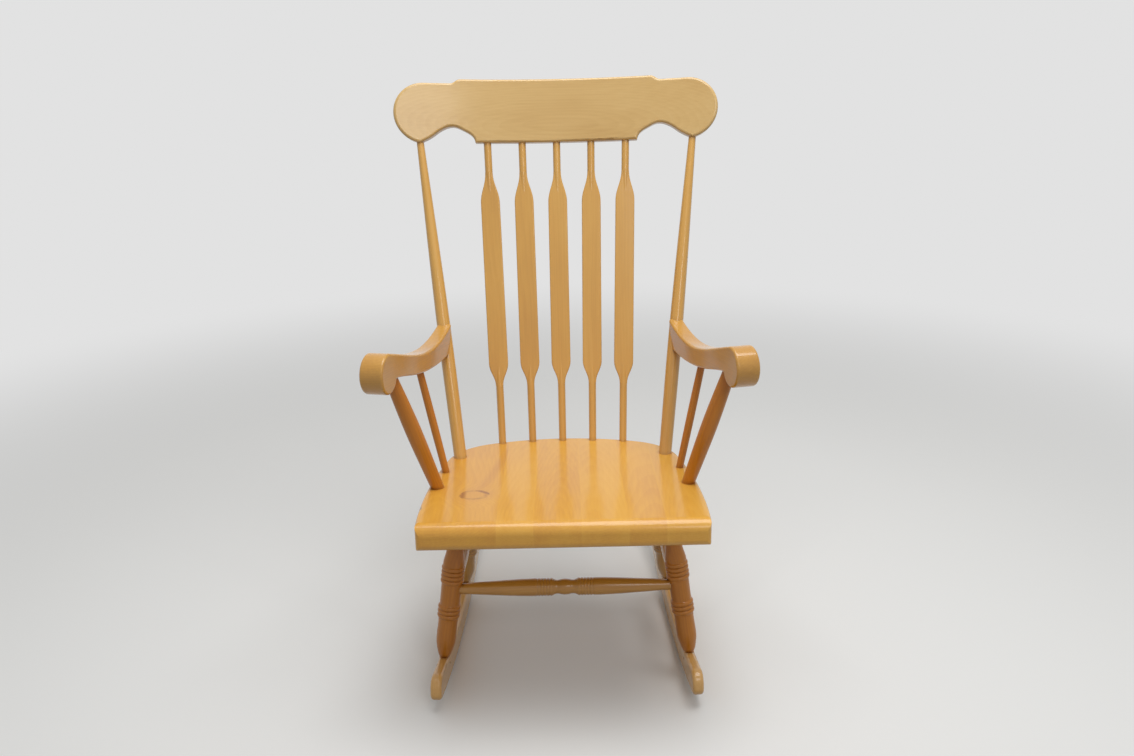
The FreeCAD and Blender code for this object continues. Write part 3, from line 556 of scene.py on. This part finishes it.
@dataclass
class Seat:
    """The plank seat: six boards glued edge to edge, with fibres from front to back."""

    boards: int = 6
    tones: Sequence[float] = (-0.06, 0.05, -0.03, 0.06, -0.02, 0.04)
    knots: dict[int, SurfaceMarks] = field(default_factory=lambda: {1: Knot()})

    def dress(self, shop: Workshop) -> None:
        """Dresses each board from a billet of its own."""
        for number in range(1, self.boards + 1):
            shop.dress("seat_board_%d" % number, GOLD_SEAT, Cut.PLANK, (0.0, 1.0, 0.0),
                       self.knots.get(number), self.tones[number - 1])


@dataclass
class Back:
    """The back: a crest rail on two posts, with five arrow spindles between them."""

    spindles: int = 5

    def dress(self, shop: Workshop) -> None:
        """Dresses the rail with its fibres level and the sticks with theirs upright."""
        shop.dress("crest_rail", TAN_CREST, Cut.SAWN, (1.0, 0.0, 0.0))
        for side in ("left", "right"):
            shop.dress("back_post_" + side, TAN_STICK, Cut.TURNED)
        for number in range(1, self.spindles + 1):
            shop.dress("back_spindle_%d" % number, TAN_STICK, Cut.SAWN)


@dataclass
class Arms:
    """Two sawn arms, each on a stout post and a thin spindle."""

    def dress(self, shop: Workshop) -> None:
        """Dresses both sides."""
        for side in ("left", "right"):
            shop.dress("arm_" + side, AMBER_ARM, Cut.SAWN)
            # Arm posts and spindles share that darker amber, painted shade included.
            shop.dress("front_arm_post_" + side, AMBER_TURNED_PAINTED_SHADE, Cut.TURNED)
            shop.dress("arm_spindle_" + side, AMBER_TURNED_PAINTED_SHADE, Cut.TURNED)


@dataclass
class Undercarriage:
    """Four turned legs with their stretchers."""

    def dress(self, shop: Workshop) -> None:
        """Dresses the legs and the stretchers."""
        for side in ("left", "right"):
            for place in ("front", "rear"):
                # Front legs take the darker amber with its painted shade; rear legs take the honey
                # wood.
                finish = AMBER_TURNED_PAINTED_SHADE if place == "front" else HONEY_LEG
                shop.dress("%s_leg_%s" % (place, side), finish, Cut.TURNED)
            shop.dress("side_stretcher_" + side, HONEY_STRETCHER, Cut.TURNED)
        for place in ("front", "rear"):
            shop.dress(place + "_stretcher", HONEY_STRETCHER, Cut.TURNED)


@dataclass
class Rockers:
    """Two sawn rockers."""

    def dress(self, shop: Workshop) -> None:
        """Dresses both rockers."""
        for side in ("left", "right"):
            shop.dress("rocker_" + side, TAN_ROCKER, Cut.SAWN)


@dataclass
class Fasteners:
    """Pins and screws in steel, plugs and pegs in wood."""

    def dress(self, shop: Workshop) -> None:
        """Dresses them."""
        steel = SteelFinish().material()
        for node in ("crest_pins", "arm_screws"):
            put_on(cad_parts[node], steel)
        shop.dress("arm_screw_plugs", PLUG_END, Cut.SAWN, (0.0, 0.2, 1.0))
        shop.dress("rocker_pegs", PLUG_END, Cut.TURNED, (1.0, 0.0, 0.0))


@dataclass(frozen=True)
class Softbox:
    """A square lamp: where it hangs, what it faces, its side in metres and its watts."""

    name: str
    place: Point
    target: Point
    size: float
    power: float


@dataclass
class Studio:
    """A plain pale floor, soft light and the camera at the photograph's angle."""

    floor_size: float = 24.0
    floor_colour: Colour = (238, 238, 236)
    floor_bounce: Colour = (150, 148, 145)
    fade_start: float = 1.2
    fade_end: float = 3.2
    surround: float = 0.76
    ambient: float = 0.42
    camera_place: Point = (0.012, -1.7143, 1.147)
    yaw: float = -0.01
    pitch: float = 19.39
    roll: float = -1.21
    focal_pixels: float = 908.4
    image_width: int = 1134
    lamps: Sequence[Softbox] = (
        Softbox("ceiling_light", (0.3, -0.3, 2.9), (0.0, 0.0, 0.5), 1.6, 42.0),
        Softbox("front_light", (0.9, -2.6, 2.2), (0.0, 0.0, 0.6), 0.9, 9.0))

    def camera(self) -> bpy.types.Object:
        """Adds the camera.

        Returns:
            The camera.
        """
        lens = bpy.data.cameras.new("camera")
        lens.sensor_width = 36.0
        lens.lens = self.focal_pixels / self.image_width * lens.sensor_width
        lens.clip_start = 0.05
        eye = bpy.data.objects.new("camera", lens)
        bpy.context.collection.objects.link(eye)
        yaw, pitch, roll = (math.radians(a) for a in (self.yaw, self.pitch, self.roll))
        ahead = Vector((math.sin(yaw) * math.cos(pitch), math.cos(yaw) * math.cos(pitch),
                        -math.sin(pitch)))
        level = Vector((math.cos(yaw), -math.sin(yaw), 0.0))
        upright = level.cross(ahead)
        right = level * math.cos(roll) + upright * math.sin(roll)
        up = upright * math.cos(roll) - level * math.sin(roll)
        axes = Matrix((right, up, -ahead)).transposed()
        eye.matrix_world = Matrix.Translation(self.camera_place) @ axes.to_4x4()
        bpy.context.scene.camera = eye
        return eye

    def lamp(self, box: Softbox) -> None:
        """Hangs a softbox.

        Args:
            box: Its place, aim, size and power.
        """
        light = bpy.data.lights.new(box.name, "AREA")
        light.shape = "SQUARE"
        light.size = box.size
        light.energy = box.power
        lamp = bpy.data.objects.new(box.name, light)
        bpy.context.collection.objects.link(lamp)
        facing = (Vector(box.target) - Vector(box.place)).to_track_quat("-Z", "Y")
        lamp.matrix_world = Matrix.Translation(box.place) @ facing.to_matrix().to_4x4()

    def seen(self, make: Nodes) -> Socket:
        """1 for the rays that see the background: camera, mirror and glass rays."""
        path = make.add("LightPath")
        first = make.math("MAXIMUM", path.outputs["Is Camera Ray"], path.outputs["Is Glossy Ray"])
        return make.math("MAXIMUM", first, path.outputs["Is Transmission Ray"])

    def surroundings(self) -> None:
        """Sets up the world: pale where it is seen, a plain level where it lights."""
        world = bpy.data.worlds.new("surround")
        world.use_nodes = True
        world.node_tree.nodes.clear()
        make = Nodes(world.node_tree)
        more = self.surround - self.ambient
        level = make.math("MULTIPLY_ADD", self.seen(make), more, self.ambient)
        glow = make.add("Background")
        make.put(glow.inputs["Strength"], level)
        glow.inputs["Color"].default_value = (1.0, 1.0, 1.0, 1.0)
        make.put(make.add("OutputWorld").inputs[0], glow.outputs[0])
        bpy.context.scene.world = world

    def floor(self) -> None:
        """Lays the floor, which fades into the surroundings away from the chair."""
        half = self.floor_size / 2
        mesh = bpy.data.meshes.new("floor")
        corners = [(-half, -half, 0), (half, -half, 0), (half, half, 0), (-half, half, 0)]
        mesh.from_pydata(corners, [], [(0, 1, 2, 3)])
        floor = bpy.data.objects.new("floor", mesh)
        bpy.context.collection.objects.link(floor)
        material = bpy.data.materials.new("floor")
        material.use_nodes = True
        material.node_tree.nodes.clear()
        make = Nodes(material.node_tree)
        where = make.add("TexCoord").outputs["Object"]
        away = make.vector("LENGTH", where)
        far = make.span(away, self.fade_start, self.fade_end, smooth=True)
        seen = self.seen(make)
        paint = make.add("BsdfDiffuse")
        colour = make.tint(seen, linear(self.floor_bounce), linear(self.floor_colour))
        make.put(paint.inputs["Color"], colour)
        glow = make.add("Emission")
        glow.inputs["Color"].default_value = (1.0, 1.0, 1.0, 1.0)
        glow.inputs["Strength"].default_value = self.surround
        blend = make.add("MixShader")
        make.put(blend.inputs[0], make.math("MULTIPLY", far, seen))
        make.put(blend.inputs[1], paint.outputs[0])
        make.put(blend.inputs[2], glow.outputs[0])
        make.put(make.add("OutputMaterial").inputs[0], blend.outputs[0])
        mesh.materials.append(material)

    def build(self) -> None:
        """Sets up camera, world, floor and lamps."""
        bpy.context.scene.view_settings.view_transform = "Standard"
        self.camera()
        self.surroundings()
        self.floor()
        for box in self.lamps:
            self.lamp(box)


def main() -> None:
    """Dresses the chair, sub-assembly by sub-assembly, and lights it."""
    logging.basicConfig(level=logging.INFO, format="%(name)s: %(message)s")
    shop = Workshop()
    for assembly in (Seat(), Back(), Arms(), Undercarriage(), Rockers(), Fasteners()):
        assembly.dress(shop)
        LOG.info("%s done", type(assembly).__name__)
    Studio().build()


if __name__ == "__main__":
    main()
